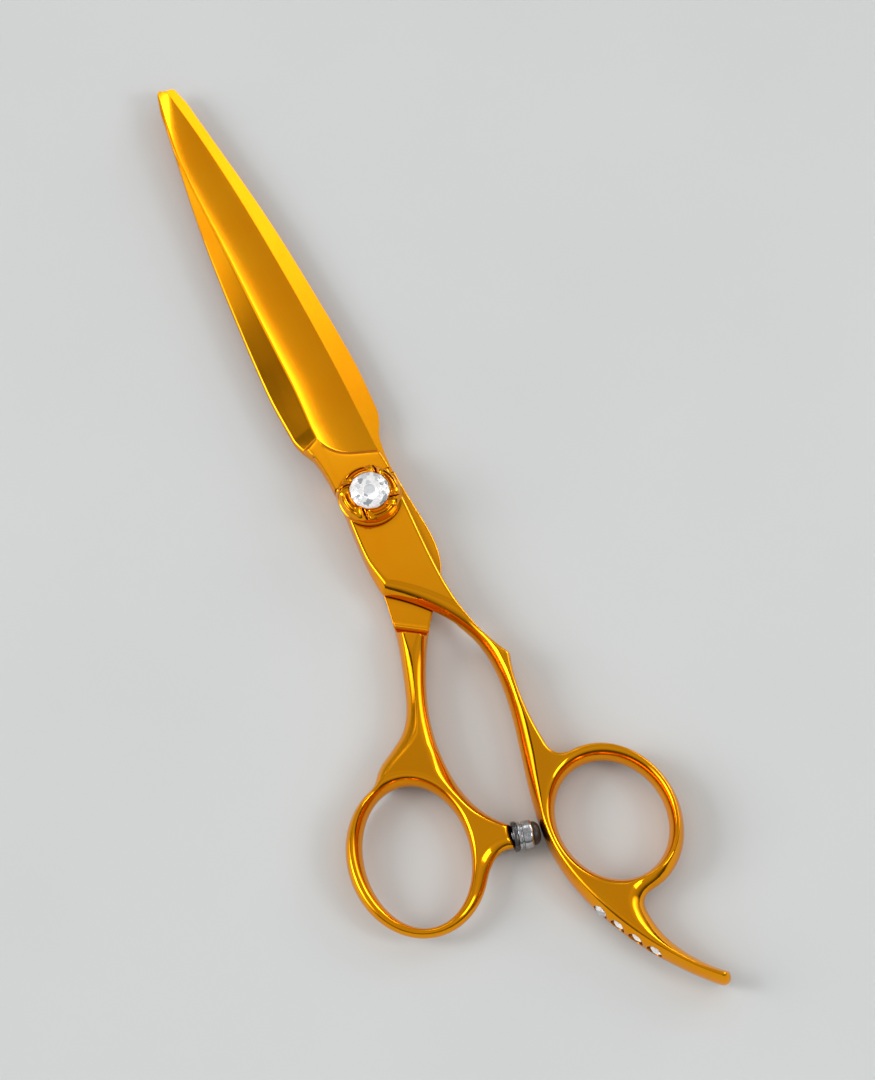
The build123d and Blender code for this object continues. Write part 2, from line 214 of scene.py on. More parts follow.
# ---- Plan fields ---------------------------------------------------------------------
class Plane2:
    """Values on a square grid over a plan rectangle, read smoothly in between."""

    def __init__(self, low, high, step):
        self.low = np.asarray(low, float)
        self.step = step
        self.size = np.ceil((np.asarray(high, float) - self.low) / step).astype(int) + 1

    def points(self):
        x = self.low[0] + self.step * np.arange(self.size[0])
        y = self.low[1] + self.step * np.arange(self.size[1])
        return np.stack(np.meshgrid(x, y, indexing="ij"), -1).reshape(-1, 2)

    def read(self, values, x, y):
        """Catmull-Rom value of a grid field at plan points."""
        u = np.clip((x - self.low[0]) / self.step, 1, self.size[0] - 2.001)
        v = np.clip((y - self.low[1]) / self.step, 1, self.size[1] - 2.001)
        i, j = u.astype(int), v.astype(int)
        wu, wv = taps(u - i), taps(v - j)
        total = 0
        for a in range(4):
            row = 0
            for b in range(4):
                row = row + wv[b] * values[i + a - 1, np.minimum(j + b - 1, self.size[1] - 1)]
            total = total + wu[a] * row
        return total


def taps(t):
    """Catmull-Rom weights of the four samples round a share t of a cell."""
    return (
        t * (-0.5 + t * (1 - 0.5 * t)),
        1 + t * t * (-2.5 + 1.5 * t),
        t * (0.5 + t * (2 - 1.5 * t)),
        t * t * (-0.5 + 0.5 * t),
    )


def nearest_on(curve, points):
    """Signed distance of points to a curve with the metal on its left, and the segment met."""
    start, along = curve[:-1], np.diff(curve, axis=0)
    length2 = (along**2).sum(1) + 1e-12
    coarse = np.arange(0, len(start), 8)
    window = np.arange(-12, 13)
    distance, met = np.empty(len(points)), np.empty(len(points), int)
    for first in range(0, len(points), 20000):
        p = points[first:first + 20000]
        away = ((p[:, None] - start[coarse][None]) ** 2).sum(2)
        near = np.clip(coarse[np.argmin(away, 1)][:, None] + window, 0, len(start) - 1)
        from_start, way = p[:, None] - start[near], along[near]
        t = np.clip((from_start * way).sum(2) / length2[near], 0, 1)
        d2 = ((from_start - t[:, :, None] * way) ** 2).sum(2)
        cross = way[:, :, 0] * from_start[:, :, 1] - way[:, :, 1] * from_start[:, :, 0]
        best = np.argmin(d2 - 1e-5 * cross**2 / length2[near], 1)
        pick = np.arange(len(p))
        distance[first:first + 20000] = -np.sign(cross[pick, best]) * np.sqrt(d2[pick, best])
        met[first:first + 20000] = near[pick, best]
    return distance, met


def side_field(grid, curve, bulges):
    """Signed distance to one side of an outline and the wall's bulge at the nearest point.

    bulges lists plan points x, y and the bulge there.
    """
    way = np.r_[0, np.cumsum(np.linalg.norm(np.diff(curve, axis=0), axis=1))]
    named = np.array(bulges, float)
    nearest = np.array([np.argmin(np.hypot(*(curve - p).T)) for p in named[:, :2]])
    order = np.argsort(nearest)
    bulge = np.interp((way[:-1] + way[1:]) / 2, way[nearest[order]], named[order, 2])
    kernel = np.hanning(27)[1:-1]
    bulge = np.convolve(np.pad(bulge, 12, mode="edge"), kernel / kernel.sum(), "valid")
    distance, met = nearest_on(curve, grid.points())
    shape = tuple(grid.size)
    return soften(distance.reshape(shape)), soften(bulge[met].reshape(shape))


def soften(values):
    """Light blur that takes out the facets of a sampled outline."""
    for axis in (0, 1):
        padded = np.pad(values, [(1, 1) if a == axis else (0, 0) for a in (0, 1)], mode="edge")
        low = np.take(padded, range(0, values.shape[axis]), axis)
        high = np.take(padded, range(2, values.shape[axis] + 2), axis)
        values = 0.25 * low + 0.5 * values + 0.25 * high
    return values


def fit_oval(points):
    """Centre, semi-axes and lean of the oval that fits a loop of points."""
    x, y = points.T
    rows = np.stack([x * x, x * y, y * y, x, y], 1)
    a, b, c, d, e = np.linalg.lstsq(rows, np.ones(len(x)), rcond=None)[0]
    form = np.array([[a, b / 2], [b / 2, c]])
    centre = np.linalg.solve(-2 * form, (d, e))
    size = 1 + centre @ form @ centre
    spread, axes = np.linalg.eigh(form / size)
    semi = 1 / np.sqrt(spread)
    return centre, semi, axes


def oval_distance(oval, x, y):
    """About the distance outside an oval, negative inside it."""
    centre, semi, axes = oval
    local = (np.stack([x, y], -1) - centre) @ axes
    q = np.sqrt(((local / semi) ** 2).sum(-1)) + 1e-6
    slope = np.sqrt(((local / semi**2) ** 2).sum(-1)) + 1e-6
    return q * (q - 1) / slope


def smooth_step(low, high, x):
    t = np.clip((x - low) / (high - low), 0, 1)
    return t * t * (3 - 2 * t)


def crest(a, b, k):
    """Larger of two fields, rounded over a width k where they meet."""
    h = np.maximum(k - np.abs(a - b), 0)
    return np.maximum(a, b) + h * h / (4 * k)


# ---- Meshing a field -----------------------------------------------------------------
def surface_net(field, low, step):
    """Quads over a sampled field's zero level: one point in each cell that it crosses."""
    inside = field < 0
    n = np.array(field.shape) - 1
    count = np.zeros(n, np.int8)
    for i, j, k in np.ndindex(2, 2, 2):
        count += inside[i:n[0] + i, j:n[1] + j, k:n[2] + k]
    active = (count > 0) & (count < 8)
    cells = np.argwhere(active)
    number = np.full(active.shape, -1)
    number[active] = np.arange(len(cells))
    total = np.zeros((len(cells), 3))
    crossings = np.zeros(len(cells))
    for axis in range(3):
        along = np.eye(3, dtype=int)[axis]
        others = [e for e in range(3) if e != axis]
        for i, j in np.ndindex(2, 2):
            shift = np.zeros(3, int)
            shift[others] = i, j
            begin = cells + shift
            a = field[tuple(begin.T)]
            b = field[tuple((begin + along).T)]
            crossed = (a < 0) != (b < 0)
            t = a / np.where(crossed, a - b, 1)
            point = shift + t[:, None] * along
            total += point * crossed[:, None]
            crossings += crossed
    points = low + step * (cells + total / crossings[:, None])
    quads = []
    for axis in range(3):
        u, v = [(1, 2), (2, 0), (0, 1)][axis]
        along = np.eye(3, dtype=int)[axis]
        first = inside[tuple(slice(0, n[e]) for e in range(3))]
        ahead = inside[tuple(slice(along[e], n[e] + along[e]) for e in range(3))]
        changed = np.argwhere(first != ahead)
        changed = changed[(changed[:, u] > 0) & (changed[:, v] > 0)]
        unit_u, unit_v = np.eye(3, dtype=int)[u], np.eye(3, dtype=int)[v]
        ring = [changed - unit_u - unit_v, changed - unit_v, changed, changed - unit_u]
        quad = np.stack([number[tuple(c.T)] for c in ring], 1)
        out = first[tuple(changed.T)]
        quads.append(np.where(out[:, None], quad, quad[:, ::-1]))
    return points, np.vstack(quads)


def settle(points, field, reach):
    """Move points onto the field's zero level, each by no more than reach."""
    start = points.copy()
    eps = 0.01
    for _ in range(4):
        value = field(points)
        slope = np.stack(
            [field(points + eps * e) - field(points - eps * e) for e in np.eye(3)], 1
        ) / (2 * eps)
        points = points - slope * (value / ((slope**2).sum(1) + 1e-9))[:, None]
        moved = points - start
        far = np.maximum(np.linalg.norm(moved, axis=1) / reach, 1)
        points = start + moved / far[:, None]
    return points


def grid_quads(rows, columns):
    """Quads between the rows of a grid of points whose columns close into a ring."""
    index = np.arange(rows * columns).reshape(rows, columns)
    beside = np.roll(index, -1, 1)
    return np.stack([index[:-1], beside[:-1], beside[1:], index[1:]], -1).reshape(-1, 4)


def make_mesh(name, points, faces, material, body, nodes, sharp=None):
    """A piece made from points in millimetres, riding on a body and standing for nodes.

    Points that fall outside the CAD's box are moved onto it.
    """
    mesh = bpy.data.meshes.new(name)
    low, high = np.array([list(corner) for corner in CAD_BOX])
    inside = np.clip(np.asarray(points) * MM, low, high)
    faces = faces.tolist() if isinstance(faces, np.ndarray) else faces
    mesh.from_pydata(inside.tolist(), [], faces)
    mesh.validate()
    mesh.shade_smooth()
    if sharp is not None:
        mesh.set_sharp_from_angle(angle=math.radians(sharp))
    mesh.materials.append(material)
    piece = add_object(name, mesh)
    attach(piece, body)
    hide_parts(*nodes)
    return piece


def mesh_field(name, field, low, high, material, body, nodes):
    """Mesh a field over a box, one height at a time, as a piece."""
    counts = np.ceil((np.asarray(high) - low) / FINE).astype(int) + 1
    axes = [low[e] + FINE * np.arange(counts[e]) for e in range(3)]
    x, y = np.meshgrid(axes[0], axes[1], indexing="ij")
    values = np.empty(counts)
    for k, z in enumerate(axes[2]):
        flat = np.stack([x.ravel(), y.ravel(), np.full(x.size, z)], 1)
        values[:, :, k] = field(flat).reshape(x.shape)
    points, quads = surface_net(values, np.asarray(low, float), FINE)
    points = settle(points, field, 0.6 * FINE)
    return make_mesh(name, points, quads, material, body, nodes)


# ---- Handles -------------------------------------------------------------------------
# How far each wall bulges past its top edge: plan x, y and the bulge.  The left side of
# a handle is listed first, then its right side.
FINGER_LEFT = (
    (-5.4, 0.0, 0.22), (-5.5, -11.0, 0.25), (-4.9, -17.8, 1.5), (1.0, -23.5, 1.8),
    (4.8, -29.5, 2.0), (6.4, -38.0, 1.6), (5.6, -47.0, 1.8), (3.6, -56.0, 1.9),
    (2.0, -63.5, 1.4), (0.7, -68.5, 0.8), (0.8, -77.0, 0.8), (2.4, -85.0, 1.1),
    (5.2, -91.5, 1.4), (8.4, -97.9, 1.1), (13.0, -104.0, 1.0), (17.4, -109.2, 1.0),
)
FINGER_RIGHT = (
    (5.4, 0.0, 0.22), (5.5, -14.0, 0.25), (6.1, -25.0, 0.35), (10.0, -37.0, 0.5),
    (8.6, -50.0, 0.6), (9.5, -57.5, 0.7), (16.0, -59.2, 0.9), (24.0, -66.0, 1.0),
    (25.2, -73.0, 1.0), (23.5, -81.0, 1.1), (18.5, -86.5, 1.5), (13.0, -88.5, 2.6),
    (11.2, -92.0, 2.9), (12.5, -98.5, 2.3), (16.5, -104.5, 1.9), (19.2, -107.6, 1.3),
)
THUMB_LEFT = (
    (-3.9, 0.0, 0.22), (-5.0, -15.0, 0.25), (-6.5, -25.0, 0.9), (-9.2, -34.5, 1.5),
    (-14.0, -43.4, 1.6), (-19.5, -48.0, 1.7), (-24.5, -51.5, 1.4), (-31.0, -57.0, 1.3),
    (-33.2, -65.0, 1.2), (-30.0, -74.0, 0.9), (-22.0, -80.2, 0.8), (-14.0, -77.0, 1.2),
    (-9.5, -71.5, 2.0), (-6.5, -70.8, 1.5), (-4.9, -70.8, 1.3),
)
THUMB_RIGHT = (
    (-4.6, -70.8, 1.3), (-3.6, -66.9, 1.3), (-5.5, -63.5, 1.2), (-8.6, -58.0, 1.5),
    (-9.1, -52.0, 2.0), (-7.6, -41.4, 1.6), (-3.5, -31.6, 1.5), (1.2, -24.0, 0.9),
    (6.4, -16.5, 0.3), (7.0, 0.0, 0.22),
)
HOLE_BULGE = 1.5             # how far the wall of a finger hole bulges in
TOP_CREST = 0.6              # rounding where the walls meet the flat top
THUMB_TWIST = 0.20           # lean of the thumb ring's walls
THIN_FROM_Y, THIN_TO_Y = -50.0, -82.0
FOOT_HALF_H = 1.62           # half thickness of the thumb ring's foot
RAMP_RUN = 2.8               # length of the ramp between neck and handle
FINGER_RAMP = ((3.5, -27.5), -120)   # a plan point on the ramp's foot and its direction
THUMB_RAMP = ((-3.4, -24.3), -123)
SPLIT_Y = -45                # the outlines are read at neck height above it
FIELD_STEP = 0.2             # cell of the plan fields
SEAT_R, SEAT_DEPTH = 1.5, 0.62       # bores of the small stones
JOURNAL_R = 2.5              # bore for the post in the thumb blade
WASHER_R, WASHER_SUNK = 4.7, 0.32    # pocket of the glide washer
HEAD_R, HEAD_SUNK = 4.5, 0.6         # pocket of the post's head
HEAD_HALF_FLATS = 3.8


def arcs(node, neck_z, handle_z, split_y, start, end):
    """The two sides of a node's outline between two plan points, the left one first.

    The neck above split_y is read at one height and the handle below it at another.
    """
    neck = tidy_loop(loops(node, neck_z)[0])
    handle = tidy_loop(loops(node, handle_z)[0])
    low = np.roll(handle, -np.argmax(handle[:, 1]), 0)
    high = np.roll(neck, -np.argmin(neck[:, 1]), 0)
    low, high = low[low[:, 1] < split_y], high[high[:, 1] >= split_y]
    top = np.argmin(np.hypot(*(high - start).T))
    loop = np.vstack([high[top:], low, high[:top]])
    last = np.argmin(np.hypot(*(loop - end).T))
    return smooth_through(loop[:last + 1]), smooth_through(np.vstack([loop[last:], loop[:1]]))


def across_ramp(p, point, angle):
    """Distance past a plan point in a direction given in degrees from +X."""
    a = math.radians(angle)
    return (p[:, 0] - point[0]) * math.cos(a) + (p[:, 1] - point[1]) * math.sin(a)


def cylinder(p, radius, low, high):
    """Field of an upright cylinder on the pivot axis."""
    wall = np.hypot(p[:, 0], p[:, 1]) - radius
    return np.maximum(wall, np.maximum(low - p[:, 2], p[:, 2] - high))


def walls(grid, sides, x, y, w2):
    """Field between a handle's two sides, whose walls bulge in step with w2."""
    left, right = (grid.read(away, x, y) + grid.read(bulge, x, y) * w2 for away, bulge in sides)
    return crest(left, right, TOP_CREST)


STONES = [box_mm(f"tang_crystal_{k}") for k in range(1, 5)]


def tang_seats():
    """Direction out of the tang's outer wall, and the middle of each small stone."""
    seats = [(low + high) / 2 for low, high in STONES]
    run = (seats[-1] - seats[0]) / np.linalg.norm(seats[-1] - seats[0])
    return np.array((run[1], -run[0], 0)), seats


def finger_field():
    """Field of the finger blade's neck, shank, ring and tang."""
    tips = np.array((0.0, TIP_Y)), np.array((18.3, FINGER_BOX[0][1]))
    left, right = arcs("finger_blade", MID_Z + 0.9, MID_Z - 2.0, SPLIT_Y, *tips)
    grid = Plane2(FINGER_BOX[0][:2] - 2, (FINGER_BOX[1][0] + 2, BLADE_FROM_Y + 2), FIELD_STEP)
    sides = side_field(grid, left, FINGER_LEFT), side_field(grid, right, FINGER_RIGHT)
    hole = fit_oval(loops("finger_blade", MID_Z)[1])
    outward, seats = tang_seats()

    def field(p):
        x, y, z = p.T
        w2 = ((z - MID_Z) / HALF_H) ** 2
        f = walls(grid, sides, x, y, w2)
        f = crest(f, HOLE_BULGE * w2 - oval_distance(hole, x, y), TOP_CREST)
        f = crest(f, z - TOP_Z, TOP_CREST)
        down = np.clip(across_ramp(p, *FINGER_RAMP) / RAMP_RUN, 0, 1)
        floor = FINGER_RIDE_Z - (FINGER_RIDE_Z - LOW_Z) * down
        f = crest(f, floor - z, 0.3)
        f = np.maximum(f, y - BLADE_FROM_Y)
        f = np.maximum(f, -cylinder(p, BUSH_BOX[1][0], LOW_Z, TOP_Z + 1))
        for seat in seats:
            q = p - seat
            radius = np.linalg.norm(q - (q @ outward)[:, None] * outward, axis=1)
            bore = np.maximum(radius - SEAT_R, -SEAT_DEPTH - q @ outward)
            f = crest(f, -bore, 0.15)
        return f

    return field


def thumb_field():
    """Field of the thumb blade's neck, shank, ring and horn."""
    horn = (COLLAR_BOX[0] + COLLAR_BOX[1])[:2] / 2
    tips = np.array((1.4, TIP_Y)), horn + (-0.8, -2.2)
    left, right = arcs("thumb_blade", MID_Z - 1.12, MID_Z - 1.12, SPLIT_Y, *tips)
    grid = Plane2(THUMB_BOX[0][:2] - 2, (THUMB_BOX[1][0] + 2, BLADE_FROM_Y + 2), FIELD_STEP)
    sides = side_field(grid, left, THUMB_LEFT), side_field(grid, right, THUMB_RIGHT)
    hole = fit_oval(loops("thumb_blade", MID_Z)[1])

    def field(p):
        x, y, z = p.T
        near = 1 - smooth_step(2.5, 7.0, oval_distance(hole, x, y))
        x = x + THUMB_TWIST * near * (z - MID_Z)
        thin = smooth_step(THIN_FROM_Y, THIN_TO_Y, y)
        half = HALF_H + (FOOT_HALF_H - HALF_H) * thin
        w2 = ((z - MID_Z) / half) ** 2
        k = TOP_CREST + 0.9 * smooth_step(-27, -33, y) * smooth_step(-52, -44, y)
        f = walls(grid, sides, x, y, w2)
        bulge = HOLE_BULGE - 0.6 * thin
        f = crest(f, bulge * w2 - oval_distance(hole, x, y), TOP_CREST)
        f = crest(f, np.abs(z - MID_Z) - half, k)
        up = np.clip(across_ramp(p, *THUMB_RAMP) / RAMP_RUN, 0, 1)
        roof = THUMB_RIDE_Z + (TOP_Z - THUMB_RIDE_Z + 0.02) * (1 - np.sqrt(1 - up**2))
        f = crest(f, z - roof, 0.15)
        f = np.maximum(f, y - BLADE_FROM_Y)
        f = np.maximum(f, -cylinder(p, JOURNAL_R, LOW_Z - 1, TOP_Z))
        f = np.maximum(f, -cylinder(p, WASHER_R, THUMB_RIDE_Z - WASHER_SUNK, TOP_Z))
        head = cylinder(p, HEAD_R, LOW_Z - 1, LOW_Z + HEAD_SUNK)
        return np.maximum(f, -np.maximum(head, np.abs(y) - HEAD_HALF_FLATS))

    return field


# ---- Ground blades -------------------------------------------------------------------
EDGE_LAND = 0.12             # flat left by honing along the cutting edge
HOLLOW = 0.04                # depth of the hollow grind over its width
NECK_H = TOP_Z - FINGER_RIDE_Z
RIDGE_COLUMNS, EDGE_COLUMNS = 24, 80
HEEL_STEEP = 1.8             # slope of the wall where the grind ends at the neck
NOSE_X, NOSE_R = -0.15, 1.0              # round back corner of the nose
NOSE_EDGE_X, NOSE_EDGE_R = 0.85, 0.3     # cutting edge at the nose and its corner
HELD_Y = 17                  # towards the pivot the section is held from here
HEEL_END_Y = 30              # the run-out of the grind is worked out up to here
BACK_BEVEL = 0.1             # small bevel along the spine
STATION_YS = (HELD_Y, 25, 33, 42, 50, 58, 66, 71, 75.5, 80, 85, 87.5, 90)


def nose_corner(y, radius):
    """Half width left by a round corner of the nose, very wide where it has not begun."""
    into = np.clip(y - (TIP_Y - radius), 0, radius)
    return np.where(into > 0, np.sqrt(radius**2 - into**2), 99.0)


def blade_stations():
    """Cutting edge, spine and ridge of the finger blade along Y, read off the CAD blade."""
    rows = []
    for y in STATION_YS:
        ends = cut("finger_blade", 1, y)[:, :, [0, 2]].reshape(-1, 2)
        edge, spine = ends[:, 0].max(), ends[:, 0].min()
        spine_h = ends[ends[:, 0] < spine + 0.02, 1].max() - FINGER_RIDE_Z
        ridge = ends[np.argmax(ends[:, 1])]
        rows.append((y, edge, spine, spine_h, ridge[0], ridge[1] - FINGER_RIDE_Z))
    return np.array(rows)


def ground_blade():
    """Points and faces of the finger blade beyond the pivot, with the grind's run-out."""
    stations = blade_stations()
    y = np.r_[
        np.arange(BLADE_FROM_Y, 19, 0.12),
        np.linspace(19, 84, 66),
        np.linspace(84.2, TIP_Y - 0.01, 70),
    ]
    edge, spine, spine_h, ridge_x, ridge_h = spline(stations[:, 0], stations[:, 1:], y).T
    ridge_x = np.where(y < HELD_Y, stations[0, 4], ridge_x)
    ridge_h = np.where(y < HELD_Y, stations[0, 5], ridge_h)
    edge = np.where(y < HELD_Y, stations[0, 1], edge)
    share = np.clip((HELD_Y - y) / (HELD_Y - BLADE_FROM_Y), 0, 1)
    neck_y = np.array((BLADE_FROM_Y, 6.0, 8.0, 10.0, 12.0))
    cuts = [cut("finger_blade", 1, level)[:, :, [0, 2]].reshape(-1, 2) for level in neck_y]
    neck_x = [ends[ends[:, 1] > TOP_Z - 0.05, 0].min() for ends in cuts]
    beside = 1 - smooth_step(11.0, 17.0, y)
    spine = np.where(y < HELD_Y, stations[0, 2], spine)
    spine = spine + beside * (spline(neck_y, neck_x, np.minimum(y, 14.0)) - spine)
    spine_h = np.where(y < HELD_Y, stations[0, 3] + 0.5 * share, spine_h)
    low_x = np.maximum(spine, NOSE_X - nose_corner(y, NOSE_R))
    high_x = np.minimum(edge, NOSE_EDGE_X - NOSE_EDGE_R + nose_corner(y, NOSE_EDGE_R))
    split = np.clip(ridge_x, low_x + 0.1 * (high_x - low_x), high_x - 0.3 * (high_x - low_x))
    t = np.linspace(0, 1, RIDGE_COLUMNS + 1)
    u = np.linspace(0, 1, EDGE_COLUMNS + 1)[1:]
    x = np.concatenate(
        [
            low_x[:, None] + t * (split - low_x)[:, None],
            split[:, None] + u * (high_x - split)[:, None],
        ],
        1,
    )
    rise = (ridge_h - spine_h) / np.maximum(ridge_x - spine, 0.05)
    spine_facet = ridge_h[:, None] + (x - ridge_x[:, None]) * rise[:, None]
    width = (edge - ridge_x)[:, None]
    s = (x - ridge_x[:, None]) / width
    hollow_facet = ridge_h[:, None] + s * (EDGE_LAND - ridge_h[:, None])
    hollow_facet -= 4 * HOLLOW * width * np.clip(s, 0, 1) * (1 - s)
    top = -crest(-spine_facet, -hollow_facet, 0.12)
    neck = smooth_through(np.vstack([tidy_loop(loops("finger_blade", TOP_Z - 0.06)[0])] * 2)[:-1])
    points = np.stack([x, np.broadcast_to(y[:, None], x.shape)], -1)
    heel = y < HEEL_END_Y
    away = nearest_on(neck, points[heel].reshape(-1, 2))[0].reshape(heel.sum(), -1)
    away = np.clip((away + np.hypot(away, 0.12)) / 2, 0, 13)
    scoop = NECK_H - HEEL_STEEP * away
    top[heel] = -crest(-crest(top[heel], scoop, 0.4), np.full(away.shape, -NECK_H), 0.16)
    left, right, flat = low_x[:, None], high_x[:, None], 0 * y[:, None]
    ring_x = np.concatenate([left, left, x, right, right], 1)
    ring_x[:, 2] += np.minimum(BACK_BEVEL, 0.3 * (split - low_x))
    ring_z = np.concatenate(
        [flat, top[:, :1] - BACK_BEVEL, top, 0.5 * top[:, -1:], flat], 1
    )
    ring = np.stack([ring_x, np.broadcast_to(y[:, None], ring_x.shape), ring_z + FINGER_RIDE_Z], -1)
    rows, columns = ring.shape[:2]
    ends = list(range(columns))[::-1], list(range((rows - 1) * columns, rows * columns))
    return ring.reshape(-1, 3), grid_quads(rows, columns).tolist() + list(ends)


# ---- Materials -----------------------------------------------------------------------
def fill_ramp(ramp, stops):
    """Give a colour ramp its (position, colour) stops, in rising order."""
    elements = ramp.elements
    elements[0].position, elements[1].position = stops[0][0], stops[-1][0]
    for position, _ in stops[1:-1]:
        elements.new(position)
    for element, (_, colour) in zip(elements, stops):
        element.color = (*colour, 1)


class Nodes:
    """Short way to add and join the nodes of one material."""

    def __init__(self, name):
        self.material = bpy.data.materials.new(name)
        self.material.use_nodes = True
        self.tree = self.material.node_tree
        self.shader = self.tree.nodes["Principled BSDF"]

    def add(self, kind, inputs=None, **settings):
        node = self.tree.nodes.new(kind)
        for key, value in settings.items():
            setattr(node, key, value)
        for key, value in (inputs or {}).items():
            if isinstance(value, bpy.types.NodeSocket):
                self.tree.links.new(value, node.inputs[key])
            else:
                node.inputs[key].default_value = value
        return node

    def set(self, **inputs):
        """Set or link the shader's sockets, their names written with underscores."""
        for key, value in inputs.items():
            socket = self.shader.inputs[key.replace("_", " ")]
            if isinstance(value, bpy.types.NodeSocket):
                self.tree.links.new(value, socket)
            else:
                socket.default_value = value

    def place(self, scale=(1, 1, 1)):
        """Object coordinates in metres, stretched by a scale."""
        where = self.add("ShaderNodeTexCoord").outputs["Object"]
        return self.add("ShaderNodeMapping", {"Vector": where, "Scale": scale}).outputs["Vector"]

    def noise(self, vector, scale, detail=3.0, rough=0.5):
        inputs = {"Vector": vector, "Scale": scale, "Detail": detail, "Roughness": rough}
        return self.add("ShaderNodeTexNoise", inputs).outputs["Fac"]

    def span(self, value, low, high):
        """A 0 to 1 value spread over low to high."""
        inputs = {"Value": value, "To Min": low, "To Max": high}
        return self.add("ShaderNodeMapRange", inputs).outputs["Result"]

    def ramp(self, value, *stops):
        """Colour ramp through (position, colour) stops."""
        node = self.add("ShaderNodeValToRGB", {"Fac": value})
        fill_ramp(node.color_ramp, stops)
        return node.outputs["Color"]

    def bump(self, height, distance):
        inputs = {"Height": height, "Distance": distance, "Strength": 1.0}
        return self.add("ShaderNodeBump", inputs).outputs["Normal"]


def gold(name, rough, grain, painted_shade_reach):
    """Polished titanium-gold steel with a fine lengthwise grain, faint wear in its tone, and
    painted shade.

    The last argument is how far, in millimetres, ambient occlusion looks for hollows and nearby
    surfaces such as the floor; the colour is darkened there as painted shade.
    """
    n = Nodes(name)
    lines = n.noise(n.place((9000, 220, 9000)), 1.0, 4.0, 0.6)
    clouds = n.noise(n.place((1, 1, 1)), 90.0, 3.0)
    colour = n.ramp(clouds, (0.3, (0.98, 0.345, 0.004)), (0.7, (0.98, 0.38, 0.006)))
    # Painted shade: ambient occlusion darkens the colour in hollows, in the dial's slots and on
    # walls near the floor, where shade falls.
    painted_shade_ao = n.add("ShaderNodeAmbientOcclusion", {"Distance": painted_shade_reach * MM}, samples=8)
    painted_shade = n.ramp(painted_shade_ao.outputs["AO"], (0.30, (0.12, 0.08, 0.3)), (0.80, (1.0, 1.0, 1.0)))
    mix = n.add("ShaderNodeMix", data_type="RGBA", blend_type="MULTIPLY")
    mix.inputs["Factor"].default_value = 1.0
    n.tree.links.new(colour, mix.inputs[6])
    n.tree.links.new(painted_shade, mix.inputs[7])
    n.set(
        Base_Color=mix.outputs[2],
        Metallic=1.0,
        Roughness=n.span(lines, rough * 0.7, rough * 1.4),
        Normal=n.bump(lines, grain * MM),
    )
    return n.material


def floor_material():
    n = Nodes("floor_white")
    tone = n.noise(n.place(), 14.0, 4.0)
    n.set(
        Base_Color=n.ramp(tone, (0.3, (0.76, 0.78, 0.775)), (0.7, (0.79, 0.81, 0.805))),
        Roughness=0.55,
        Specular_IOR_Level=0.3,
    )
    return n.material


# ---- Scene ---------------------------------------------------------------------------
# Brightness of the surroundings by the height of the direction looked in.
SKY = ((0.0, 0.05), (0.14, 0.07), (0.34, 0.42), (0.68, 0.56), (0.9, 0.46), (1.0, 0.5))
SKY_STRENGTH = 1.0
BOARD_Z = 0.35               # height of the reflection boards, in metres
CAMERA_TARGET = (8.0, -11.5, 3.2)    # in millimetres
CAMERA_AZIMUTH, CAMERA_ELEVATION = -25, 66
CAMERA_DISTANCE = 1.2        # in metres
CAMERA_LENS = 223.84
# Patches: direction, inner and outer half angle in degrees, and gain in brightness.
PATCHES = (
    ((-0.913, 0.369, 0.34), 14, 30, 7.0),
    ((0.93, 0.20, 0.20), 8, 24, 7.0),
    ((0.20, 0.93, 0.32), 10, 26, 7.0),
)


def aim(thing, target):
    thing.rotation_mode = "QUATERNION"
    thing.rotation_quaternion = (Vector(target) - thing.location).to_track_quat("-Z", "Y")


def make_camera():
    """Camera at the photograph's angle, as estimated from the large stone's outline."""
    target = Vector(CAMERA_TARGET) * MM
    azimuth, elevation = math.radians(CAMERA_AZIMUTH), math.radians(CAMERA_ELEVATION)
    back = Vector(
        (
            math.sin(azimuth) * math.cos(elevation),
            -math.cos(azimuth) * math.cos(elevation),
            math.sin(elevation),
        )
    )
    data = bpy.data.cameras.new("camera")
    data.sensor_width = 36
    data.lens = CAMERA_LENS
    camera = add_object("camera", data)
    camera.location = target + back * CAMERA_DISTANCE
    aim(camera, target)
    data.clip_start, data.clip_end = 0.01, 20
    bpy.context.scene.camera = camera


def softbox(name, place, target, size, power):
    data = bpy.data.lights.new(name, "AREA")
    data.shape = "RECTANGLE"
    data.size, data.size_y = size
    data.energy = power
    light = add_object(name, data)
    light.location = place
    aim(light, target)


def make_world():
    """Pale surroundings: bright overhead, darker low down, with a few soft patches."""
    world = bpy.data.worlds.new("studio")
    bpy.context.scene.world = world
    world.use_nodes = True
    tree = world.node_tree
    where = tree.nodes.new("ShaderNodeTexCoord").outputs["Generated"]
    split = tree.nodes.new("ShaderNodeSeparateXYZ")
    tree.links.new(where, split.inputs[0])
    ramp = tree.nodes.new("ShaderNodeValToRGB")
    tree.links.new(split.outputs["Z"], ramp.inputs["Fac"])
    fill_ramp(ramp.color_ramp, [(position, (level,) * 3) for position, level in SKY])
    level = ramp.outputs["Color"]
    for direction, narrow, wide, gain in PATCHES:
        dot = tree.nodes.new("ShaderNodeVectorMath")
        dot.operation = "DOT_PRODUCT"
        tree.links.new(where, dot.inputs[0])
        dot.inputs[1].default_value = Vector(direction).normalized()
        lobe = tree.nodes.new("ShaderNodeMapRange")
        lobe.interpolation_type = "SMOOTHSTEP"
        tree.links.new(dot.outputs["Value"], lobe.inputs["Value"])
        lobe.inputs["From Min"].default_value = math.cos(math.radians(wide))
        lobe.inputs["From Max"].default_value = math.cos(math.radians(narrow))
        lobe.inputs["To Min"].default_value = 1.0
        lobe.inputs["To Max"].default_value = gain
        scaled = tree.nodes.new("ShaderNodeVectorMath")
        scaled.operation = "SCALE"
        tree.links.new(level, scaled.inputs[0])
        tree.links.new(lobe.outputs["Result"], scaled.inputs["Scale"])
        level = scaled.outputs["Vector"]
    background = tree.nodes["Background"]
    tree.links.new(level, background.inputs["Color"])
    background.inputs["Strength"].default_value = SKY_STRENGTH


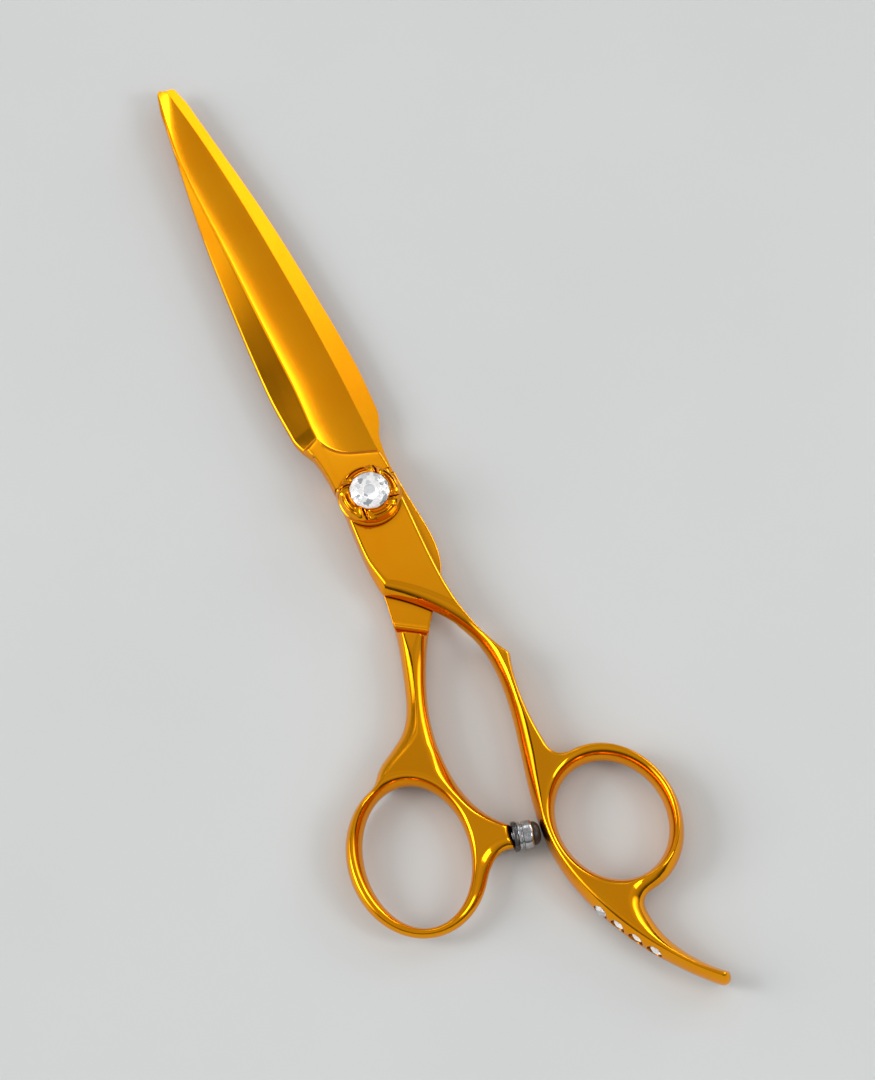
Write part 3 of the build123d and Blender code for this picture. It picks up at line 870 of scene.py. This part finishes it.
def board(name, low, high, axis, stops):
    """Board over the shears, seen only in reflections, its light level running along an axis.

    stops are (coordinate along the axis, level) pairs, in metres.
    """
    (x0, y0), (x1, y1) = low, high
    mesh = bpy.data.meshes.new(name)
    corners = [(x0, y0, BOARD_Z), (x1, y0, BOARD_Z), (x1, y1, BOARD_Z), (x0, y1, BOARD_Z)]
    mesh.from_pydata(corners, [], [(3, 2, 1, 0)])
    n = Nodes(name)
    split = n.add("ShaderNodeSeparateXYZ", {"Vector": n.place()})
    first, last = stops[0][0], stops[-1][0]
    along = n.add("ShaderNodeMapRange", {
        "Value": split.outputs[axis], "From Min": first, "From Max": last}).outputs["Result"]
    peak = max(level for _, level in stops)
    grey = [((at - first) / (last - first), (level / peak,) * 3) for at, level in stops]
    n.set(
        Base_Color=(0.0, 0.0, 0.0, 1), Specular_IOR_Level=0.0, Roughness=1.0,
        Emission_Color=n.ramp(along, *grey), Emission_Strength=peak,
    )
    mesh.materials.append(n.material)
    piece = add_object(name, mesh)
    piece.visible_camera = piece.visible_diffuse = piece.visible_shadow = False


def make_floor():
    """Plain pale floor that curves up far behind the shears."""
    half, back, up = 1.5, 1.6, 1.2
    mesh = bpy.data.meshes.new("floor")
    profile = [(-half, 0.0), (back * 0.6, 0.0)]
    for k in range(1, 13):
        a = math.radians(90 * k / 12)
        profile.append((back * 0.6 + 0.6 * math.sin(a), 0.6 - 0.6 * math.cos(a)))
    profile.append((back * 0.6 + 0.6, up))
    points = [(x, y, z) for y, z in profile for x in (-half, half)]
    faces = [(2 * k, 2 * k + 1, 2 * k + 3, 2 * k + 2) for k in range(len(profile) - 1)]
    mesh.from_pydata(points, [], faces)
    mesh.shade_smooth()
    mesh.materials.append(floor_material())
    floor = add_object("floor", mesh)


def turned(profile, turn=None, steps=96):
    """Points and faces of a profile of (radius, height) rows turned about +Z.

    turn changes the turned points, given their radius, angle and height.
    """
    profile = np.asarray(profile, float)
    angle = np.linspace(0, 2 * math.pi, steps, endpoint=False)
    radius, height = np.repeat(profile[:, :1], steps, 1), np.repeat(profile[:, 1:], steps, 1)
    angle = np.broadcast_to(angle, radius.shape)
    if turn is not None:
        height = turn(radius, angle, height)
    points = np.stack([radius * np.cos(angle), radius * np.sin(angle), height], -1)
    return points.reshape(-1, 3), grid_quads(*radius.shape)


def refine(profile, step):
    """The profile with its long runs divided, so that none is longer than step."""
    profile = np.asarray(profile, float)
    rows = [profile[:1]]
    for a, b in zip(profile, profile[1:]):
        parts = max(int(np.linalg.norm(b - a) / step), 1)
        rows.append(a + (b - a) * np.linspace(0, 1, parts + 1)[1:, None])
    return np.vstack(rows)


def weld(piece):
    """Join a turned piece's doubled points on its axis."""
    piece.modifiers.new("axis", "WELD").merge_threshold = 0.004 * MM


# ---- Tension dial --------------------------------------------------------------------
LOBES = 4
SLOT_FROM, SLOT_SLANT = 46.0, 17.0   # a slot's inner end and its turn out to the rim, degrees
SLOT_HALF_W, SLOT_DEPTH = 0.10, 0.22
LIP_AT, LIP_HALF_W, LIP_H = 0.36, 0.20, 0.30
GROOVE_DEPTH, GROOVE_PITCH = 0.34, 0.64


def dial_relief(radius, angle, height):
    """Rim of the dial: straight slanting slots with raised lips, grooved lobes between."""
    top_z, rim_r = DIAL_BOX[1][2], DIAL_BOX[1][0]
    inner = STONE_BOX[1][0] + 0.1
    on_top = smooth_step(top_z - 2.0, top_z - 1.6, height)
    on_top = on_top * smooth_step(inner - 0.02, inner, radius)
    across = (radius - inner) / (rim_r - 0.25 - inner)
    turn = np.radians(SLOT_FROM + SLOT_SLANT * across)
    share = (angle - turn) * LOBES / (2 * math.pi)
    share = share - np.floor(share)
    slot = np.minimum(share, 1 - share) * 2 * math.pi * radius / LOBES
    cut_in = 1 - smooth_step(SLOT_HALF_W * 0.6, SLOT_HALF_W * 1.2, slot)
    lip = np.exp(-(((slot - LIP_AT) / LIP_HALF_W) ** 2))
    leaf = smooth_step(0.16, 0.26, share) * (1 - smooth_step(0.70, 0.82, share))
    rings = 0.5 - 0.5 * np.cos(2 * math.pi * (radius - inner - 0.12) / GROOVE_PITCH)
    rings = smooth_step(0.2, 0.8, rings)
    ends = smooth_step(0.05, 0.16, share) * (1 - smooth_step(0.84, 0.95, share)) * (1 - leaf)
    height = height - on_top * (GROOVE_DEPTH * leaf * rings + 0.18 * ends * (1 - 0.8 * leaf))
    return height - on_top * (SLOT_DEPTH * cut_in - LIP_H * lip)


def make_dial(material):
    bottom, top = DIAL_BOX[0][2], DIAL_BOX[1][2]
    rim = DIAL_BOX[1][0]
    seat_r = STONE_BOX[1][0] + 0.02
    seat_z = STONE_BOX[0][2]
    arch = [math.radians(a) for a in range(0, 91, 6)]
    rise = top - 0.15 - (bottom + 1.25)
    flat_r = seat_r + 0.12
    dome = [
        (flat_r + (rim - 0.25 - flat_r) * math.sin(a), bottom + 1.25 + rise * math.cos(a))
        for a in arch
    ]
    profile = [
        (0, seat_z), (seat_r, seat_z), (seat_r, top - 0.06), (seat_r + 0.06, top),
        *dome, (rim - 0.25, bottom + 0.66), (rim - 0.06, bottom + 0.5),
        (rim, bottom + 0.42), (rim, bottom + 0.06), (rim - 0.06, bottom),
        (rim - 0.85, bottom), (rim - 0.85, bottom + 0.85), (2.03, bottom + 0.85),
        (2.03, seat_z - 0.22), (0, seat_z - 0.22),
    ]
    points, quads = turned(refine(profile, 0.07)[::-1], dial_relief, 320)
    piece = make_mesh("tension_dial_knob", points, quads, material, "dial",
                      ["tension_dial"], sharp=40)
    weld(piece)


# ---- Stones --------------------------------------------------------------------------
# Rings of a brilliant cut from its culet up to its table: radius and height as shares of
# the stone's, and whether the ring is turned by half a facet.
BRILLIANT = (
    (0.05, 0.02, 0), (0.55, 0.16, 1), (0.97, 0.34, 0), (1.0, 0.38, 0), (1.0, 0.43, 0),
    (0.84, 0.68, 1), (0.62, 0.86, 0), (0.34, 0.99, 1),
)
PAVILION = BRILLIANT[:3]


def cut_stone(rings, radius, height, sides, lift=0.0):
    """Points and faces of a faceted stone standing on the XY plane."""
    points, faces = [], []
    for wide, up, turn in rings:
        for k in range(sides):
            a = 2 * math.pi * (k + turn / 2) / sides
            x, y = radius * wide * math.cos(a), radius * wide * math.sin(a)
            points.append((x, y, height * up + lift))
    for row, (low, high) in enumerate(zip(rings, rings[1:])):
        a, b = row * sides, (row + 1) * sides
        for k in range(sides):
            m = (k + 1) % sides
            if low[2] == high[2]:
                faces.append([a + k, a + m, b + m, b + k])
            elif high[2]:
                faces += [[a + k, a + m, b + k], [a + m, b + m, b + k]]
            else:
                faces += [[a + k, b + m, b + k], [a + k, a + m, b + m]]
    faces.append(list(range(sides))[::-1])
    faces.append(list(range(len(points) - sides, len(points))))
    return np.array(points), faces


def set_stone(name, node, body, radius, height, sides, place, glass, foil_painted_glints):
    """A clear stone over its silvered back, placed by a 4 by 4 matrix in millimetres."""
    for part, rings, lift, material in (
        ("", BRILLIANT, 0.0, glass), ("_foil", PAVILION, -0.03, foil_painted_glints),
    ):
        points, faces = cut_stone(rings, radius, height, sides, lift)
        if part:
            points = points * (0.985, 0.985, 1)
        points = np.c_[points, np.ones(len(points))] @ np.array(place).T
        piece = make_mesh(name + part, points[:, :3], faces, material, body, [node])
        piece.data.shade_flat()


def make_stones(glass, dial_foil_painted_glints, foil_painted_glints):
    low, high = STONE_BOX
    place = Matrix.Translation((0, 0, low[2]))
    set_stone("dial_stone", "dial_crystal", "dial", high[0], high[2] - low[2], 12, place, glass,
              dial_foil_painted_glints)
    outward, seats = tang_seats()
    for k, seat in enumerate(seats, start=1):
        node = f"tang_crystal_{k}"
        along = (node_points(node) - seat) @ outward
        turn = Vector(outward).to_track_quat("Z", "Y").to_matrix().to_4x4()
        place = Matrix.Translation(seat + along.min() * outward) @ turn
        radius = (STONES[k - 1][1][2] - STONES[k - 1][0][2]) / 2
        set_stone(f"tang_stone_{k}", node, "finger", radius, np.ptp(along), 8, place, glass, foil_painted_glints)


# ---- Bumper --------------------------------------------------------------------------
def along_axis(node, origin, axis):
    """Start, end and largest radius of a CAD node about an axis."""
    away = node_points(node) - origin
    way = away @ axis
    return way.min(), way.max(), np.linalg.norm(away - way[:, None] * axis, axis=1).max()


def make_bumper(steel, dark, rubber):
    """Collar, grooved ferrule and rubber nose, turned about the bumper's own axis."""
    centre = (COLLAR_BOX[0] + COLLAR_BOX[1]) / 2
    nose = sum(box_mm("bumper_cushion")) / 2
    axis = (nose - centre) / np.linalg.norm(nose - centre)
    turn = Vector(axis).to_track_quat("Z", "Y").to_matrix().to_4x4()
    place = np.array(Matrix.Translation(centre) @ turn)
    c0, c1, collar_r = along_axis("bumper_collar", centre, axis)
    stud, f1, ferrule_r = along_axis("bumper_ferrule", centre, axis)
    _, n1, nose_r = along_axis("bumper_cushion", centre, axis)
    mid = (c1 + f1) / 2
    profiles = {
        "bumper_collar": (dark, "black_plastic", [
            (1.02, c0), (collar_r - 0.1, c0), (collar_r, c0 + 0.1), (collar_r, c1 - 0.1),
            (collar_r - 0.1, c1), (1.02, c1)]),
        "bumper_ferrule": (steel, "bright_metal", [
            (0, stud), (0.8, stud), (1.0, stud + 0.2), (1.0, c1), (ferrule_r - 0.25, c1),
            (ferrule_r - 0.05, c1 + 0.12), (ferrule_r, c1 + 0.3), (ferrule_r - 0.05, c1 + 0.6),
            (ferrule_r - 0.32, c1 + 0.72), (ferrule_r - 0.32, c1 + 0.92),
            (ferrule_r - 0.08, c1 + 1.02), (ferrule_r, mid), (ferrule_r, f1 - 0.5),
            (ferrule_r - 0.1, f1 - 0.2), (ferrule_r - 0.4, f1), (nose_r - 0.05, f1),
            (nose_r - 0.4, f1 - 0.2), (nose_r - 0.4, f1 - 0.95), (0, f1 - 0.95)]),
        "bumper_cushion": (rubber, "black_rubber", [
            (0, f1 - 0.93), (nose_r - 0.42, f1 - 0.93), (nose_r - 0.42, f1 - 0.15),
            (nose_r - 0.1, f1), *[
                (nose_r * math.cos(a) ** 0.7, f1 + 0.1 + (n1 - f1 - 0.1) * math.sin(a))
                for a in np.radians(range(0, 89, 8))],
            (0, n1)]),
    }
    for node, (material, slot, profile) in profiles.items():
        closed = profile + [profile[0]] if node == "bumper_collar" else profile
        points, quads = turned(refine(closed, 0.2), steps=72)
        points = (np.c_[points, np.ones(len(points))] @ place.T)[:, :3]
        piece = make_mesh(node + "_turned", points, quads, material, "thumb", [node],
                          sharp=45)
        weld(piece)


# ---- Other materials -----------------------------------------------------------------
def clear_crystal():
    n = Nodes("crystal_clear")
    n.set(
        Base_Color=(1.0, 0.995, 0.99, 1), Transmission_Weight=1.0, IOR=1.58,
        Roughness=n.span(n.noise(n.place(), 900.0), 0.0, 0.02),
    )
    return n.material


def foil_with_painted_glints(name, table_r=0.0):
    """Silvered back of a stone with painted glints: flat cells of bright and grey colour, an even
    painted grey under the table, and a faint painted glow in the same colours.
    """
    n = Nodes(name)
    cells = n.add("ShaderNodeTexVoronoi", {"Vector": n.place(), "Scale": 1150.0})
    split = n.add("ShaderNodeSeparateXYZ", {"Vector": cells.outputs["Color"]})
    # Painted glints: Voronoi cells of bright white and grey stand in for the sparkle of the facets.
    painted_glints = n.ramp(
        split.outputs["X"], (0.0, (0.34, 0.35, 0.37)), (0.14, (0.42, 0.43, 0.45)),
        (0.26, (0.80, 0.81, 0.83)), (0.5, (1.0, 0.99, 0.985)), (1.0, (1.0, 1.0, 1.0)),
    )
    flat = n.add("ShaderNodeVectorMath", {0: n.place((1, 1, 0))}, operation="LENGTH")
    inside = n.add(
        "ShaderNodeMath", {0: flat.outputs["Value"], 1: table_r * MM}, operation="LESS_THAN"
    )
    mix = n.add("ShaderNodeMix", {"Factor": inside.outputs[0]}, data_type="RGBA")
    n.tree.links.new(painted_glints, mix.inputs[6])
    # Painted grey under the table, inside table_r.
    mix.inputs[7].default_value = (0.60, 0.62, 0.63, 1)
    tone = mix.outputs[2]
    # Painted glow: the back gives off light of its own, in the colours of its painted glints.
    n.set(
        Base_Color=tone, Metallic=1.0, Roughness=0.18,
        Emission_Color=tone, Emission_Strength=0.35,
    )
    return n.material


def turned_metal(name, dark, light, rough):
    """Lathe-turned metal: fine rings of changing tone."""
    n = Nodes(name)
    rings = n.noise(n.place((3000, 3000, 3000)), 1.0, 2.0)
    n.set(
        Base_Color=n.ramp(rings, (0.35, dark), (0.65, light)),
        Metallic=1.0, Roughness=n.span(rings, rough * 0.7, rough * 1.5),
        Normal=n.bump(rings, 0.0008 * MM),
    )
    return n.material


def moulded(name, dark, light, rough):
    """Rubber or plastic with a faint mould texture."""
    n = Nodes(name)
    skin = n.noise(n.place(), 5000.0, 3.0)
    tone = n.noise(n.place(), 600.0, 2.0)
    n.set(
        Base_Color=n.ramp(tone, (0.3, dark), (0.7, light)),
        Roughness=n.span(skin, rough * 0.8, rough * 1.1), Normal=n.bump(skin, 0.01 * MM),
    )
    return n.material


bpy.context.scene.view_settings.view_transform = "Standard"
make_camera()
make_world()
make_floor()
softbox("window", (-1.3, 0.5, 0.8), (0, 0, 0), (0.5, 0.8), 5)
softbox("lamp_right", (1.1, -0.9, 1.1), (0, 0, 0), (0.6, 0.6), 5)
board("board_over", (0.0, 0.03), (0.102, 0.30), "Y", (
    (0.03, 0.46), (0.085, 0.44), (0.10, 0.50), (0.12, 0.64), (0.155, 0.70), (0.165, 0.80),
    (0.18, 0.95), (0.195, 1.6), (0.21, 2.4), (0.30, 2.2)))
board("board_left", (-0.34, 0.12), (-0.10, 0.32), "Y", (
    (0.12, 0.06), (0.20, 0.08), (0.225, 0.14), (0.245, 0.38), (0.262, 0.6), (0.275, 1.6),
    (0.32, 1.8)))
board("board_right", (0.40, 0.15), (0.90, 0.50), "X", (
    (0.40, 0.50), (0.46, 0.8), (0.51, 2.4), (0.57, 7.0), (0.90, 7.0)))

# The gold's last argument is the reach, in millimetres, of its painted shade from ambient
# occlusion.
GOLD = gold("gold_polished", 0.10, 0.0006, painted_shade_reach=3.0)
SATIN = gold("gold_satin", 0.17, 0.0012, painted_shade_reach=1.0)

blade, blade_faces = ground_blade()
turned_over = blade * (-1, 1, -1) + (2 * BLADE_MID_X, 0, 2 * MID_Z)
make_mesh("finger_blade_ground", blade, blade_faces, SATIN, "finger",
          ["finger_blade"], sharp=62)
make_mesh("thumb_blade_ground", turned_over, blade_faces, SATIN, "thumb",
          ["thumb_blade"], sharp=62)
mesh_field(
    "finger_handle", finger_field(), (-7.0, FINGER_BOX[0][1] - 0.6, LOW_Z - 0.6),
    (FINGER_BOX[1][0] + 0.8, BLADE_FROM_Y + 0.6, TOP_Z + 0.6), GOLD, "finger",
    ["finger_blade"],
)
mesh_field(
    "thumb_handle", thumb_field(), (THUMB_BOX[0][0] - 1, THUMB_BOX[0][1] - 0.8, LOW_Z - 0.6),
    (9.0, BLADE_FROM_Y + 0.6, TOP_Z + 0.6), GOLD, "thumb", ["thumb_blade"],
)

# The dial's gold darkens its slots with painted shade reaching 0.4 mm.
make_dial(gold("gold_dial", 0.07, 0.0004, painted_shade_reach=0.4))
# Both stone backs carry painted glints and a painted glow; the dial's back has a painted grey under
# its table.
make_stones(clear_crystal(), foil_with_painted_glints("foil_dial_painted_glints", 1.0), foil_with_painted_glints("foil_tang_painted_glints"))
make_bumper(
    turned_metal("steel_turned", (0.42, 0.42, 0.43), (0.62, 0.62, 0.63), 0.16),
    turned_metal("steel_dark", (0.10, 0.10, 0.10), (0.18, 0.17, 0.17), 0.3),
    moulded("rubber_dark", (0.030, 0.026, 0.024), (0.055, 0.050, 0.046), 0.42),
)
HIDDEN = {
    "pivot_post": GOLD,
    "pivot_bush": turned_metal("bronze", (0.55, 0.30, 0.14), (0.68, 0.40, 0.19), 0.25),
    "click_spring": turned_metal("spring_steel", (0.50, 0.51, 0.53), (0.64, 0.65, 0.67), 0.2),
}
PLASTIC = moulded("slip_plastic", (0.70, 0.69, 0.66), (0.80, 0.79, 0.76), 0.45)
for name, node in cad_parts.items():
    node.data.materials.clear()
    node.data.materials.append(HIDDEN.get(name, PLASTIC if "washer" in name else GOLD))
